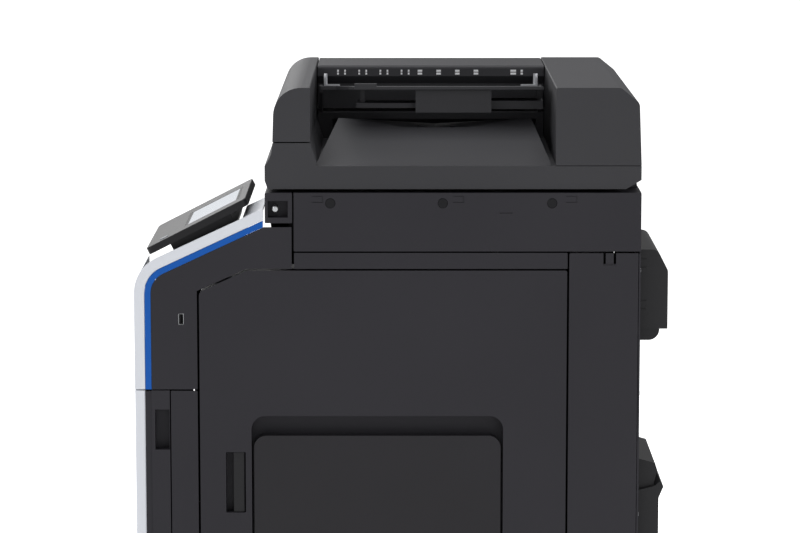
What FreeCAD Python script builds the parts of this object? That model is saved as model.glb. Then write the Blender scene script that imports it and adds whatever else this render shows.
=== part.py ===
"""Floor-standing A3 colour photocopier: engine, scanner, document feeder, tilting panel and drawers.

Millimetres. +X is the operator's right, the front faces -Y and +Z is up. While the shapes are built,
y counts back from the front face; write() then moves every shape forward by half the depth, so that
the origin is on the floor under the middle of the machine.
"""
import FreeCAD, Part
import math
import os

V = FreeCAD.Vector

# Overall sizes
WIDTH = 617.0
DEPTH = 884.0
HEIGHT = 1223.0
SIDE = WIDTH / 2
BACK = 837.0              # rear cover, the exhaust box stands behind it
SKIN = 3.0                # moulded cover thickness
INNER = SIDE - SKIN
SEAM = 2.0                # gap between neighbouring covers
FIT = 0.06                # radial clearance of a running pin

# Heights of the main divisions
COVER_LOW = 66.0
DRAWER_FRONTS = ((68.0, 212.0), (216.0, 316.0), (320.0, 420.0))
DOOR_LOW, DOOR_HIGH = 424.0, 720.0
ENGINE_TOP = 787.0        # floor of the output bay
TOWER_TOP = 950.0
SCANNER_LOW, SCANNER_HIGH = 953.0, 1050.0
LID_LOW, LID_HIGH = 1056.0, 1094.0

# Depths of the main divisions
DOOR_BACK = 57.6
SIDE_DOOR_FRONT, SIDE_DOOR_BACK = 106.0, 717.0
FRONT_PLATE = 128.0
REAR_PLATE = 600.0
SCANNER_FRONT = 217.0
SCANNER_SEAM = 263.0

# Output bay and the tower to its right
TOWER_LEFT = 143.0

# Sloped front of the tower
SLOPE = math.radians(25.0)
CORNER_Z = 923.8          # where the slope would meet the front face
CORNER_R = 64.0

# Tilting control panel, measured from its pivot along and across its face
PIVOT_Y, PIVOT_Z = 49.0, 905.0
PANEL_TILT = 27.0
PANEL_LEFT, PANEL_RIGHT = 20.0, 300.0
PANEL_LOW, PANEL_HIGH = -2.0, 182.0
PANEL_FACE = 59.0
BEZEL = 12.0
ARMS = ((170.0, 192.0), (243.0, 265.0))
PANEL_PIN = 5.0

# Document feeder
FEEDER_SIDE = 304.0
ARCH_FRONT, ARCH_BACK = 230.0, 292.0
BLOCK_FRONT = 696.0
FEED_RIGHT = -127.0       # right end of the feed unit
LID_HINGE_Y, LID_HINGE_Z = 826.0, 1056.0

# Casters
WHEEL_R = 25.0
CASTER_X = 250.0
CASTER_FRONT_Y, CASTER_REAR_Y = 110.0, 760.0
TRAIL = 20.0
BASE_LOW = 62.0


def outline(plane, corners, at):
    """Closed wire through corners (a, b, radius) in one plane; the radius rounds that corner."""
    place = {
        "yz": lambda a, b: V(at, a, b),
        "xz": lambda a, b: V(a, at, b),
        "xy": lambda a, b: V(a, b, at),
    }[plane]
    points = [V(c[0], c[1], 0) for c in corners]
    radii = [c[2] if len(c) > 2 else 0.0 for c in corners]
    edges = []
    ends = []
    for i, point in enumerate(points):
        to_last = (points[i - 1] - point).normalize()
        to_next = (points[(i + 1) % len(points)] - point).normalize()
        if radii[i] == 0:
            ends.append((point, None, point))
            continue
        half = to_last.getAngle(to_next) / 2
        run = radii[i] / math.tan(half)
        inward = (to_last + to_next).normalize()
        middle = point + inward * (radii[i] / math.sin(half) - radii[i])
        ends.append((point + to_last * run, middle, point + to_next * run))
    for i, (start, middle, stop) in enumerate(ends):
        if middle is not None:
            arc = Part.Arc(place(start.x, start.y), place(middle.x, middle.y), place(stop.x, stop.y))
            edges.append(arc.toShape())
        following = ends[(i + 1) % len(ends)][0]
        if (following - stop).Length > 1e-6:
            edges.append(Part.makeLine(place(stop.x, stop.y), place(following.x, following.y)))
    return Part.Wire(edges)


def slab(plane, corners, low, high):
    """The outline's face, thickened from low to high along the plane's normal."""
    normal = {"yz": V(1, 0, 0), "xz": V(0, 1, 0), "xy": V(0, 0, 1)}[plane]
    shape = Part.Face(outline(plane, corners, low)).extrude(normal * (high - low))
    if shape.Volume < 0:
        shape.reverse()
    return shape


def block(x, y, z):
    """Box from three (low, high) pairs."""
    return Part.makeBox(x[1] - x[0], y[1] - y[0], z[1] - z[0], V(x[0], y[0], z[0]))


def frame_corners(a, b, radius):
    """Rectangle corners for outline(), all with one radius."""
    return [(a[0], b[0], radius), (a[1], b[0], radius), (a[1], b[1], radius), (a[0], b[1], radius)]


def rod(axis, centre, radius, low, high):
    """Cylinder along x, y or z from low to high; centre gives the other two coordinates in order."""
    base = {
        "x": V(low, centre[0], centre[1]),
        "y": V(centre[0], low, centre[1]),
        "z": V(centre[0], centre[1], low),
    }[axis]
    along = {"x": V(1, 0, 0), "y": V(0, 1, 0), "z": V(0, 0, 1)}[axis]
    return Part.makeCylinder(radius, high - low, base, along)


def join(*shapes):
    """Union of several solids."""
    return shapes[0].multiFuse(list(shapes[1:])).removeSplitter()


def cut(shape, *tools):
    """The shape without the tools."""
    return shape.cut(list(tools))


def group(shapes):
    """Separate solids that share a node."""
    return Part.makeCompound(shapes)


def write(name, shape):
    """Put the origin under the middle of the machine and save the piece."""
    placed = shape.copy()
    placed.translate(V(0, -DEPTH / 2, 0))
    placed.exportStep("parts/" + name + ".step")


def front_corner(inset):
    """The rounded corner between the front face and the slope, inset from the outer surface."""
    drop = inset * (1 / math.cos(SLOPE) - math.tan(SLOPE))
    return (inset, CORNER_Z - drop, CORNER_R - inset)


def slope_z(y, inset):
    """Height of the tower's sloped front at y, inset from the outer surface."""
    return CORNER_Z + y * math.tan(SLOPE) - inset / math.cos(SLOPE)


def slope_band(outer, inner, low, back):
    """Outline of a strip that follows the front face, the rounded corner and the slope."""
    return [
        (outer, low),
        front_corner(outer),
        (back, slope_z(back, outer)),
        (back, slope_z(back, inner)),
        front_corner(inner),
        (inner, low),
    ]


# ---------------------------------------------------------------- base, casters and steel frame

BEAM = 30.0
BASE_HIGH = BASE_LOW + BEAM
FRAME_SIDE = 296.0
POST = 25.0
PLATE_RIGHT = 272.0       # frame plates stop short of the side door
RIGHT_POST = 9.0
FORK_GAP = 9.5
FORK_PLATE = 3.0
AXLE_R = 4.0
STEM_R = 5.0


def caster_fork(x, y, top):
    """Pressed steel fork: round head, two cheeks and the axle, trailing behind its stem."""
    axle_y = y + TRAIL
    head = rod("z", (x, y), 22.0, top - 4.0, top)
    bridge = block((x - FORK_GAP - FORK_PLATE, x + FORK_GAP + FORK_PLATE), (y - 12, axle_y + 8), (top - 4, top))
    cheek = [(y - 12, top - 4), (axle_y + 8, top - 4), (axle_y + 8, WHEEL_R - 8, 7), (axle_y - 8, WHEEL_R - 8, 7)]
    cheeks = []
    for side in (-1, 1):
        near = x + side * FORK_GAP
        far = x + side * (FORK_GAP + FORK_PLATE)
        cheeks.append(slab("yz", cheek, min(near, far), max(near, far)))
    reach = FORK_GAP + FORK_PLATE + 2
    axle = rod("x", (axle_y, WHEEL_R), AXLE_R, x - reach, x + reach)
    return join(head, bridge, axle, *cheeks)


def caster_wheel(x, y):
    """Solid tyred wheel with a waisted hub, free on the fork's axle."""
    half = 8.0
    tyre = rod("x", (y + TRAIL, WHEEL_R), WHEEL_R, x - half, x + half)
    tyre = tyre.makeChamfer(2.0, [e for e in tyre.Edges if e.Curve.TypeId == "Part::GeomCircle"])
    dish = cut(rod("x", (y + TRAIL, WHEEL_R), 18.0, x - half, x + half), rod("x", (y + TRAIL, WHEEL_R), 9.0, x - half, x + half))
    left_dish = dish.copy()
    left_dish.translate(V(3 - 2 * half, 0, 0))
    right_dish = dish.copy()
    right_dish.translate(V(2 * half - 3, 0, 0))
    return cut(tyre, left_dish, right_dish, rod("x", (y + TRAIL, WHEEL_R), AXLE_R + FIT, x - 10, x + 10))


def base_frame():
    """Welded base of box beams with four posts, caster plates and the fixed rear forks."""
    beams = []
    posts = []
    for sign in (1, -1):
        rail_x = (FRAME_SIDE - BEAM, FRAME_SIDE) if sign > 0 else (-FRAME_SIDE, BEAM - FRAME_SIDE)
        post_x = (FRAME_SIDE - POST, FRAME_SIDE) if sign > 0 else (-FRAME_SIDE, POST - FRAME_SIDE)
        beams.append(block(rail_x, (62, 826), (BASE_LOW, BASE_HIGH)))
        post_top = TOWER_TOP - 4 if sign > 0 else ENGINE_TOP - 10
        front_x = (PLATE_RIGHT - RIGHT_POST, PLATE_RIGHT) if sign > 0 else post_x
        posts.append(block(front_x, (FRONT_PLATE + 3, FRONT_PLATE + 3 + POST), (BASE_HIGH - 4, post_top)))
        posts.append(block(post_x, (800, 826), (BASE_HIGH, TOWER_TOP - 4)))
    for y in (62.0, FRONT_PLATE, 425.0, 796.0):
        beams.append(block((-FRAME_SIDE, FRAME_SIDE), (y, y + BEAM), (BASE_LOW, BASE_HIGH - 4)))
    plates = []
    for x in (-CASTER_X, CASTER_X):
        for y in (CASTER_FRONT_Y, CASTER_REAR_Y):
            plates.append(block((x - 40, x + 40), (y - 40, y + 40), (BASE_LOW, BASE_LOW + 6)))
    forks = [caster_fork(x, CASTER_REAR_Y, BASE_LOW) for x in (-CASTER_X, CASTER_X)]
    body = join(*beams, *posts, *plates, *forks)
    stems = [rod("z", (x, CASTER_FRONT_Y), STEM_R + FIT, BASE_LOW - 1, BASE_LOW + 20) for x in (-CASTER_X, CASTER_X)]
    return cut(body, *stems)


def swivel_fork(x):
    """Front caster fork on a vertical stem that turns in the base plate."""
    fork = caster_fork(x, CASTER_FRONT_Y, BASE_LOW - 0.5)
    return join(fork, rod("z", (x, CASTER_FRONT_Y), STEM_R, BASE_LOW - 1, BASE_LOW + 12))


TONER_X = (-165.0, -55.0, 55.0, 165.0)
TONER_Z = 672.0
TONER_R = 40.0
DRUM_X = (-150.0, -50.0, 50.0, 150.0)
DRUM_Z = 528.0
EXIT_X, EXIT_Z = 160.0, 893.0
EXIT_SHAFT_R = 4.0


def plate_outline(left_top):
    """Frame plate outline: full height in the tower, left_top high beside it."""
    return [
        (-FRAME_SIDE, BASE_HIGH),
        (PLATE_RIGHT, BASE_HIGH),
        (PLATE_RIGHT, TOWER_TOP - 4),
        (TOWER_LEFT + 5, TOWER_TOP - 4),
        (TOWER_LEFT + 5, left_top),
        (-FRAME_SIDE, left_top),
    ]


def front_plate():
    """Front side plate with the drawer window, the drum window and the holes for the toner bottles."""
    y = (FRONT_PLATE, FRONT_PLATE + 3)
    plate = slab("xz", plate_outline(ENGINE_TOP - 10), *y)
    wide = (y[0] - 1, y[1] + 1)
    drawers = slab("xz", frame_corners((-265, 265), (97, 421), 6), *wide)
    drums = slab("xz", frame_corners((-232, 235), (484, 626), 12), *wide)
    bottles = [rod("y", (x, TONER_Z), TONER_R + 3, *wide) for x in TONER_X]
    fuser = slab("xz", frame_corners((154, 258), (720, 820), 8), *wide)
    exit_bore = rod("y", (EXIT_X, EXIT_Z), EXIT_SHAFT_R + FIT, *wide)
    return cut(plate, drawers, drums, fuser, exit_bore, *bottles)


def rear_plate():
    """Rear side plate that carries the drives, with a cable window and the far roller bearings."""
    y = (REAR_PLATE, REAR_PLATE + 3)
    corners = frame_corners((-FRAME_SIDE, PLATE_RIGHT), (BASE_HIGH, TOWER_TOP - 4), 4)
    wide = (y[0] - 1, y[1] + 1)
    drives = [rod("y", (x, DRUM_Z), 16, *wide) for x in DRUM_X]
    cables = slab("xz", frame_corners((-270, -215), (600, 760), 10), *wide)
    exit_bore = rod("y", (EXIT_X, EXIT_Z), EXIT_SHAFT_R + FIT, *wide)
    return cut(slab("xz", corners, *y), cables, exit_bore, *drives)


# ---------------------------------------------------------------- engine units

UNIT_Y = (150.0, 560.0)


def laser_unit():
    """Closed writing unit with four sloped exposure windows on its lid."""
    case = slab("xz", [(-240, 428, 4), (215, 428, 4), (215, 470, 10), (-240, 470, 10)], *UNIT_Y)
    lid = block((-225, 200), (UNIT_Y[0] + 20, UNIT_Y[1] - 20), (470, 474))
    windows = [block((x - 6, x + 6), (180, 530), (472, 475)) for x in DRUM_X]
    return cut(join(case, lid), *windows)


def drum_unit(x):
    """One imaging cartridge: photoconductor drum, developer box and front grip."""
    low = DRUM_Z - 42
    case = slab("xz", [(x - 42, low, 5), (x + 20, low, 5), (x + 20, DRUM_Z - 18), (x - 6, DRUM_Z - 6), (x - 42, DRUM_Z + 8, 5)], *UNIT_Y)
    bay = rod("y", (x + 4, DRUM_Z), 16.5, UNIT_Y[0] + 8, UNIT_Y[1] - 8)
    drum = rod("y", (x + 4, DRUM_Z), 15.0, UNIT_Y[0] + 6, UNIT_Y[1] - 6)
    shaft = rod("y", (x + 4, DRUM_Z), 5.0, UNIT_Y[0] - 15, UNIT_Y[1] + 36)
    cheeks = [rod("y", (x + 4, DRUM_Z), 18.0, y, y + 6) for y in (UNIT_Y[0], UNIT_Y[1] - 6)]
    grip = block((x - 34, x - 10), (UNIT_Y[0] - 16, UNIT_Y[0]), (low + 8, low + 24))
    return join(cut(case, bay), drum, shaft, grip, *cheeks)


def drum_units():
    """Four identical imaging cartridges side by side."""
    return group([drum_unit(x) for x in DRUM_X])


def transfer_unit():
    """Intermediate transfer belt around its end rollers, inside two cheek plates."""
    low, high, left, right = 562.0, 614.0, -205.0, 222.0
    y = (UNIT_Y[0] + 8, UNIT_Y[1] - 8)
    radius = (high - low) / 2
    belt = slab("xz", frame_corners((left, right), (low, high), radius - 0.01), *y)
    hollow = slab("xz", frame_corners((left + 2, right - 2), (low + 2, high - 2), radius - 2.01), y[0] - 1, y[1] + 1)
    rollers = [rod("y", (x, low + radius), radius - 2.6, *y) for x in (left + radius, right - radius)]
    cheeks = []
    for edge in (UNIT_Y[0], UNIT_Y[1] - 5):
        cheeks.append(slab("xz", frame_corners((left + 8, right - 8), (low + 6, high - 6), 8), edge, edge + 5))
    bars = [block((x - 8, x + 8), (UNIT_Y[0] + 5, UNIT_Y[1] - 5), (low + 14, high - 14)) for x in (-60, 80)]
    shafts = [rod("y", (x, low + radius), 6, UNIT_Y[0] + 4, UNIT_Y[1] - 4) for x in (left + radius, right - radius)]
    return join(cut(belt, hollow), *rollers, *cheeks, *bars, *shafts)


def toner_bottle(x):
    """Bottle lying front to back, with a shoulder, a neck at the rear and a round front cap."""
    y = (138.0, 560.0)
    body = rod("y", (x, TONER_Z), TONER_R - 2, y[0] + 14, y[1] - 30)
    rings = [rod("y", (x, TONER_Z), TONER_R, start, start + 5) for start in range(176, 520, 28)]
    shoulder = Part.makeCone(TONER_R - 2, 18, 16, V(x, y[1] - 30, TONER_Z), V(0, 1, 0))
    neck = rod("y", (x, TONER_Z), 14, y[1] - 14, y[1])
    cap = rod("y", (x, TONER_Z), TONER_R, y[0], y[0] + 14)
    grip = block((x - 5, x + 5), (y[0] - 8, y[0]), (TONER_Z - 26, TONER_Z + 26))
    return join(body, shoulder, neck, cap, grip, *rings)


def toner_bottles():
    """Four toner bottles above the transfer belt."""
    return group([toner_bottle(x) for x in TONER_X])


def fuser_unit():
    """Fuser housing with a vertical paper slot between the heated roller and the pressure roller."""
    x, z = (158.0, 254.0), (722.0, 818.0)
    y = (160.0, UNIT_Y[1])
    case = slab("xz", frame_corners(x, z, 8), *y)
    hollow = slab("xz", frame_corners((x[0] + 4, x[1] - 4), (z[0] + 4, z[1] - 4), 5), y[0] + 4, y[1] - 4)
    slot = block((201, 211), (y[0] + 20, y[1] - 20), (z[0] - 1, z[1] + 1))
    rollers = [rod("y", (centre, 770), 19.5, y[0] + 10, y[1] - 10) for centre in (186.0, 226.0)]
    shafts = [rod("y", (centre, 770), 7, y[0] + 2, y[1] - 2) for centre in (186.0, 226.0)]
    grip = block((180, 236), (y[0] - 14, y[0]), (740, 756))
    return join(cut(case, hollow, slot), grip, *rollers, *shafts)


def exit_roller():
    """Exit shaft with rubber rolls that drive the sheet into the output bay."""
    shaft = rod("y", (EXIT_X, EXIT_Z), EXIT_SHAFT_R, FRONT_PLATE - 4, REAR_PLATE + 16)
    rolls = [rod("y", (EXIT_X, EXIT_Z), 11, start, start + 22) for start in (170, 260, 350, 440, 530)]
    return join(shaft, *rolls)


def electrical_box():
    """Sheet-metal box for the controller boards and the power supply, with rows of vent slots."""
    case = block((-284, 150), (748, 796), (330, 900))
    hollow = block((-282, 148), (750, 794), (332, 898))
    slots = [block((x, x + 24), (745, 752), (z, z + 6)) for x in range(-250, 120, 60) for z in range(640, 860, 16)]
    board = block((-270, 130), (780, 783), (500, 880))
    supply = block((-260, 60), (756, 790), (345, 470))
    return group([cut(case, hollow, *slots), board, supply])


# ---------------------------------------------------------------- covers

def left_cover():
    """Left side cover, low beside the output bay and full height behind it, with vent slots."""
    corners = [(60, COVER_LOW, 4), (833, COVER_LOW, 4), (833, TOWER_TOP), (604, TOWER_TOP), (604, ENGINE_TOP), (60, ENGINE_TOP)]
    vents = [block((-SIDE - 1, -INNER + 1), (650, 800), (z, z + 5)) for z in range(500, 660, 14)]
    switch = block((-SIDE - 1, -INNER + 1), (698.5, 725.5), (118.5, 157.5))
    return cut(slab("yz", corners, -SIDE, -INNER), switch, *vents)


def rear_cover():
    """Rear cover with an exhaust grille behind the duct box and a cut-out for the inlet."""
    plate = slab("xz", frame_corners((-SIDE, SIDE), (COVER_LOW, TOWER_TOP), 4), BACK - SKIN, BACK)
    grille = [block((60, 265), (BACK - 4, BACK + 1), (z, z + 6)) for z in range(840, 930, 14)]
    vents = [block((-260, -80), (BACK - 4, BACK + 1), (z, z + 6)) for z in range(420, 540, 14)]
    inlet = block((-244, -196), (BACK - 4, BACK + 1), (136, 166))
    return cut(plate, inlet, *grille, *vents)


def rear_column_cover():
    """Narrow cover behind the side door, with a U-shaped clip slot near its top."""
    corners = frame_corners((719, 833), (COVER_LOW, TOWER_TOP), 2)
    clip = [block((INNER - 1, SIDE + 1), (y, y + 4), (932, 951)) for y in (775.0, 792.0)]
    foot = block((SIDE - 1, SIDE + 1), (775, 796), (930, 933))
    return cut(slab("yz", corners, INNER, SIDE), foot, *clip)


ACCENT_OUTER, ACCENT_INNER = 17.6, 27.6
PORT_Y, PORT_Z = (73.0, 82.0), (830.0, 849.0)


def column_cover():
    """Dark front column cover: it fills the side under the accent strip and carries the data port."""
    inset = ACCENT_INNER + 0.4
    corners = [
        (inset, 722),
        front_corner(inset),
        (215, slope_z(215, inset)),
        (261, slope_z(215, inset)),
        (261, 924),
        (186, 924),
        (104, 887),
        (104, 722),
    ]
    port = block((INNER - 1, SIDE + 1), PORT_Y, PORT_Z)
    return cut(slab("yz", corners, INNER, SIDE), port)


def lower_column_cover():
    """Dark side cover between the front door and the side door, down to the base."""
    return slab("yz", frame_corners((59.6, 104), (COVER_LOW, 719.5), 1.5), INNER, SIDE)


def upper_side_strip():
    """Strip between the side door and the scanner."""
    return slab("yz", frame_corners((265, 716), (924, 950.5), 1), INNER, SIDE)


RIM = 7.0
POCKET_INSET = 28.0
POCKET_FRONT, POCKET_BACK = 14.0, 180.0


def tower_front_cover():
    """White front cover of the tower: rounded corner, slope and the pocket the panel folds into."""
    rim = slab("yz", slope_band(0, 17, 722, 214), SIDE - RIM, SIDE)
    skin = slab("yz", slope_band(0, 4, 722, 214), TOWER_LEFT, SIDE - RIM)
    pocket = [
        (POCKET_FRONT, slope_z(POCKET_FRONT, POCKET_INSET)),
        (POCKET_BACK, slope_z(POCKET_BACK, POCKET_INSET)),
        (POCKET_BACK, 1100),
        (POCKET_FRONT, 1100),
    ]
    skin = cut(skin, slab("yz", pocket, TOWER_LEFT - 1, SIDE - RIM))
    deep = POCKET_INSET + SKIN
    front, back = POCKET_FRONT - SKIN, POCKET_BACK + SKIN
    floor = [
        (front, slope_z(front, POCKET_INSET)),
        (back, slope_z(back, POCKET_INSET)),
        (back, slope_z(back, deep)),
        (front, slope_z(front, deep)),
    ]
    front_wall = block((TOWER_LEFT, SIDE - RIM), (front, POCKET_FRONT), (slope_z(front, deep), 919))
    back_wall = block((TOWER_LEFT, SIDE - RIM), (POCKET_BACK, back), (slope_z(back, deep), slope_z(back, 2)))
    end = [
        (front, slope_z(front, deep)),
        (back, slope_z(back, deep)),
        (back, slope_z(back, 2)),
        (30, slope_z(30, 6)),
        (front, 915),
    ]
    end_wall = slab("yz", end, SIDE - RIM, SIDE - RIM + 3)
    body = join(rim, skin, slab("yz", floor, TOWER_LEFT, SIDE - RIM), front_wall, back_wall, end_wall)
    slots = [block((low - 6, high + 6), (POCKET_FRONT, 112), (870, 943)) for low, high in ARMS]
    return cut(body, *slots)


def accent_band():
    """Blue inlay strip that follows the white cover up the front and along the slope."""
    return slab("yz", slope_band(ACCENT_OUTER, ACCENT_INNER, 722, 214), INNER, SIDE)


def front_upper_cover():
    """White cover under the front edge of the output bay."""
    outer = [(0, 722), (0, ENGINE_TOP, 18), (57, ENGINE_TOP), (57, 722)]
    inner = [(4, 700), (4, ENGINE_TOP - 4, 14), (60, ENGINE_TOP - 4), (60, 700)]
    right = TOWER_LEFT - SEAM
    return cut(slab("yz", outer, -SIDE, right), slab("yz", inner, -SIDE + 4, right - 4))


def output_tray():
    """Output bay floor that rises to the left, with shallow ribs along the paper's way."""
    right, left = TOWER_LEFT - SEAM, -SIDE + 4
    low = ENGINE_TOP + 2
    y = (6.0, 588.0)
    body = slab("xz", [(right, low), (left, low), (left, 846, 6), (-60, 812, 200), (right, 800)], *y)
    inside = slab("xz", [(right - 4, low - 9), (left + 4, low - 9), (left + 4, 841), (-60, 807), (right - 4, 795)], y[0] + 4, y[1] - 4)
    ribs = []
    for start in range(90, 540, 70):
        ribs.append(slab("xz", [(right - 30, 799), (-60, 810), (left + 30, 841), (left + 30, 844.5), (-60, 813.5), (right - 30, 803)], start, start + 5))
    return join(cut(body, inside), *ribs)


EXIT_SLOT = ((150.0, 560.0), (878.0, 908.0))


def bay_wall():
    """Right and rear walls of the output bay, with the paper exit slot."""
    right = block((TOWER_LEFT, TOWER_LEFT + SKIN), (190, 593), (ENGINE_TOP + 2, TOWER_TOP))
    front = block((TOWER_LEFT, TOWER_LEFT + SKIN), (6, 190), (ENGINE_TOP + 2, 880))
    rear = block((-INNER, TOWER_LEFT), (590, 593), (ENGINE_TOP + 2, TOWER_TOP))
    slot = block((TOWER_LEFT - 1, TOWER_LEFT + SKIN + 1), *EXIT_SLOT)
    return cut(join(right, front, rear), slot)


# ---------------------------------------------------------------- control panel

def panel_bracket():
    """Steel bracket on the front plate with two lugs and a pin on each side of the panel's arms."""
    foot = block((158, 277), (30, FRONT_PLATE), (866, 870))
    flange = block((158, 277), (FRONT_PLATE - 4, FRONT_PLATE), (840, 866))
    lugs = []
    for low, high in ARMS:
        for edge in (low - 4.0, high + 1.0):
            lug = slab("yz", [(PIVOT_Y - 12, 868), (PIVOT_Y + 12, 868), (PIVOT_Y + 6, PIVOT_Z + 5, 4), (PIVOT_Y - 6, PIVOT_Z + 5, 4)], edge, edge + 3)
            lugs.append(lug)
        lugs.append(rod("x", (PIVOT_Y, PIVOT_Z), 4.0, low - 4, high + 4))
    return join(foot, flange, *lugs)


def tilted(shape):
    """Turn a piece drawn with its face level at the pivot to the panel's resting tilt."""
    shape.rotate(V(0, 0, 0), V(1, 0, 0), PANEL_TILT)
    shape.translate(V(0, PIVOT_Y, PIVOT_Z))
    return shape


SCREEN_X, SCREEN_U = (90.0, 258.0), (66.0, 168.0)
KEY_X, KEY_U, KEY_R = 275.0, 30.0, 8.0


def panel_housing():
    """Panel body: thin bezel, deeper electronics housing behind it and two hinge arms."""
    bezel = slab("xy", frame_corners((PANEL_LEFT, PANEL_RIGHT), (PANEL_LOW, PANEL_HIGH), 9), PANEL_FACE - BEZEL, PANEL_FACE)
    bezel = bezel.makeFillet(2.0, [e for e in bezel.Edges if all(v.Z > PANEL_FACE - 0.1 for v in e.Vertexes)])
    back = [(36, 47), (36, 24), (48, 14), (138, 14), (148, 26), (148, 47)]
    housing = slab("yz", back, PANEL_LEFT + 16, PANEL_RIGHT - 12)
    arms = []
    for low, high in ARMS:
        arm = slab("yz", [(-7, 5), (36, 34), (62, 24), (62, 14), (6, -7)], low, high)
        arms.append(arm)
        arms.append(rod("x", (0, 0), 9.0, low, high))
    body = join(bezel, housing, *arms)
    glass = block(SCREEN_X, SCREEN_U, (PANEL_FACE - 2, PANEL_FACE + 1))
    key = rod("z", (KEY_X, KEY_U), KEY_R + 0.3, PANEL_FACE - 4, PANEL_FACE + 1)
    bores = [rod("x", (0, 0), 4.0 + FIT, low - 1, high + 1) for low, high in ARMS]
    return tilted(cut(body, glass, key, *bores))


def panel_screen():
    """Touch screen glass set flush in the bezel."""
    x = (SCREEN_X[0] + 0.2, SCREEN_X[1] - 0.2)
    u = (SCREEN_U[0] + 0.2, SCREEN_U[1] - 0.2)
    return tilted(block(x, u, (PANEL_FACE - 2, PANEL_FACE - 0.1)))


def panel_key():
    """Round power key in the bezel's lower right corner."""
    return tilted(rod("z", (KEY_X, KEY_U), KEY_R, PANEL_FACE - 2.5, PANEL_FACE + 1))


# ---------------------------------------------------------------- scanner

GLASS = ((-225.0, 225.0), (300.0, 620.0))
SLIT = ((-268.0, -240.0), (300.0, 620.0))
LUG_X = (-230.0, 230.0)


def scanner_case():
    """Scanner tub with carriage rails, a top frame for the glasses and two hinge lugs."""
    x, y = (-SIDE, INNER - 1), (SCANNER_SEAM + 1, BACK)
    shell = block(x, y, (SCANNER_LOW, SCANNER_HIGH))
    hollow = block((x[0] + 4, x[1] - 3), (y[0] + 3, y[1] - 4), (SCANNER_LOW + 4, SCANNER_HIGH - 4))
    shell = cut(shell, hollow)
    openings = []
    for gx, gy in (GLASS, SLIT):
        openings.append(block(gx, gy, (SCANNER_HIGH - 5, SCANNER_HIGH + 1)))
    ledges = []
    for gx, gy in (GLASS, SLIT):
        ring = block((gx[0] - 4, gx[1] + 4), (gy[0] - 4, gy[1] + 4), (SCANNER_HIGH - 6, SCANNER_HIGH - 4))
        ledges.append(cut(ring, block((gx[0] + 4, gx[1] - 4), (gy[0] + 4, gy[1] - 4), (SCANNER_HIGH - 7, SCANNER_HIGH - 3))))
    rails = [block((-290, 290), (edge, edge + 6), (SCANNER_LOW + 4, 990)) for edge in (284.0, 630.0)]
    lugs = []
    bores = []
    for x_mid in LUG_X:
        lugs.append(block((x_mid - 10, x_mid + 10), (LID_HINGE_Y - 8, LID_HINGE_Y + 8), (SCANNER_HIGH - 2, LID_HINGE_Z)))
        lugs.append(rod("x", (LID_HINGE_Y, LID_HINGE_Z), 8.0, x_mid - 10, x_mid + 10))
        bores.append(rod("x", (LID_HINGE_Y, LID_HINGE_Z), 4.0 + FIT, x_mid - 11, x_mid + 11))
    return cut(join(cut(shell, *openings), *ledges, *rails, *lugs), *bores)


CAP_Y = (325.0, 510.0, 690.0)
HOOK_Y = (295.0, 527.0, 713.0)


def scanner_side_cover():
    """Right scanner cover with three cap seats and moulded hook marks."""
    corners = frame_corners((265, BACK), (SCANNER_LOW, SCANNER_HIGH), 1.5)
    caps = [rod("x", (y, 1033), 8.5, SIDE - 1.2, SIDE + 1) for y in CAP_Y]
    hooks = []
    for y in HOOK_Y:
        hooks.append(block((SIDE - 1, SIDE + 1), (y, y + 18), (1044, 1045.5)))
        hooks.append(block((SIDE - 1, SIDE + 1), (y, y + 18), (1034, 1035.5)))
        hooks.append(block((SIDE - 1, SIDE + 1), (y + 16.5, y + 18), (1035, 1045)))
    slot = block((SIDE - 1, SIDE + 1), (604, 625), (1016, 1018))
    return cut(slab("yz", corners, INNER, SIDE), slot, *caps, *hooks)


def scanner_front_cover():
    """Front beam of the scanner with a square recess in its right end and a ridge below it."""
    y = (SCANNER_FRONT, SCANNER_SEAM - 1)
    section = [(y[0] + 6, SCANNER_LOW), (y[0], 1000), (y[0], SCANNER_HIGH, 3), (y[1], SCANNER_HIGH), (y[1], SCANNER_LOW)]
    body = slab("yz", section, -SIDE, TOWER_LEFT - 1)
    right = slab("yz", frame_corners(y, (1000, SCANNER_HIGH), 2), TOWER_LEFT - 1, SIDE)
    hollow = block((-SIDE + 4, SIDE - 24), (y[0] + 10, y[1] - 3), (1004, SCANNER_HIGH - 4))
    recess = block((SIDE - 18, SIDE + 1), (222, 255), (1009, 1037))
    return cut(join(body, right), hollow, recess)


def platen_glass():
    """Document glass and the narrow glass that the feeder reads through."""
    panes = []
    for gx, gy in (GLASS, SLIT):
        panes.append(block((gx[0] + 0.2, gx[1] - 0.2), (gy[0] + 0.2, gy[1] - 0.2), (SCANNER_HIGH - 4, SCANNER_HIGH)))
    return group(panes)


def lamp_carriage():
    """Full-rate carriage: a channel with the lamp bar, resting on the scanner rails."""
    channel = block((-232, -196), (286, 634), (992, 1036))
    inside = block((-228, -200), (284, 636), (996, 1040))
    lamp = rod("y", (-214, 1026), 5.0, 288, 632)
    ends = [block((-230, -198), (edge, edge + 4), (994, 1034)) for edge in (286.0, 630.0)]
    return join(cut(channel, inside), lamp, *ends)


def mirror_carriage():
    """Half-rate carriage with two mirrors, left of the lamp carriage."""
    section = [(-280, 991), (-244, 991), (-244, 994), (-277, 994), (-277, 1031), (-250, 1036), (-280, 1036)]
    return slab("xz", section, 286, 634)


# ---------------------------------------------------------------- rear pieces

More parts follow.
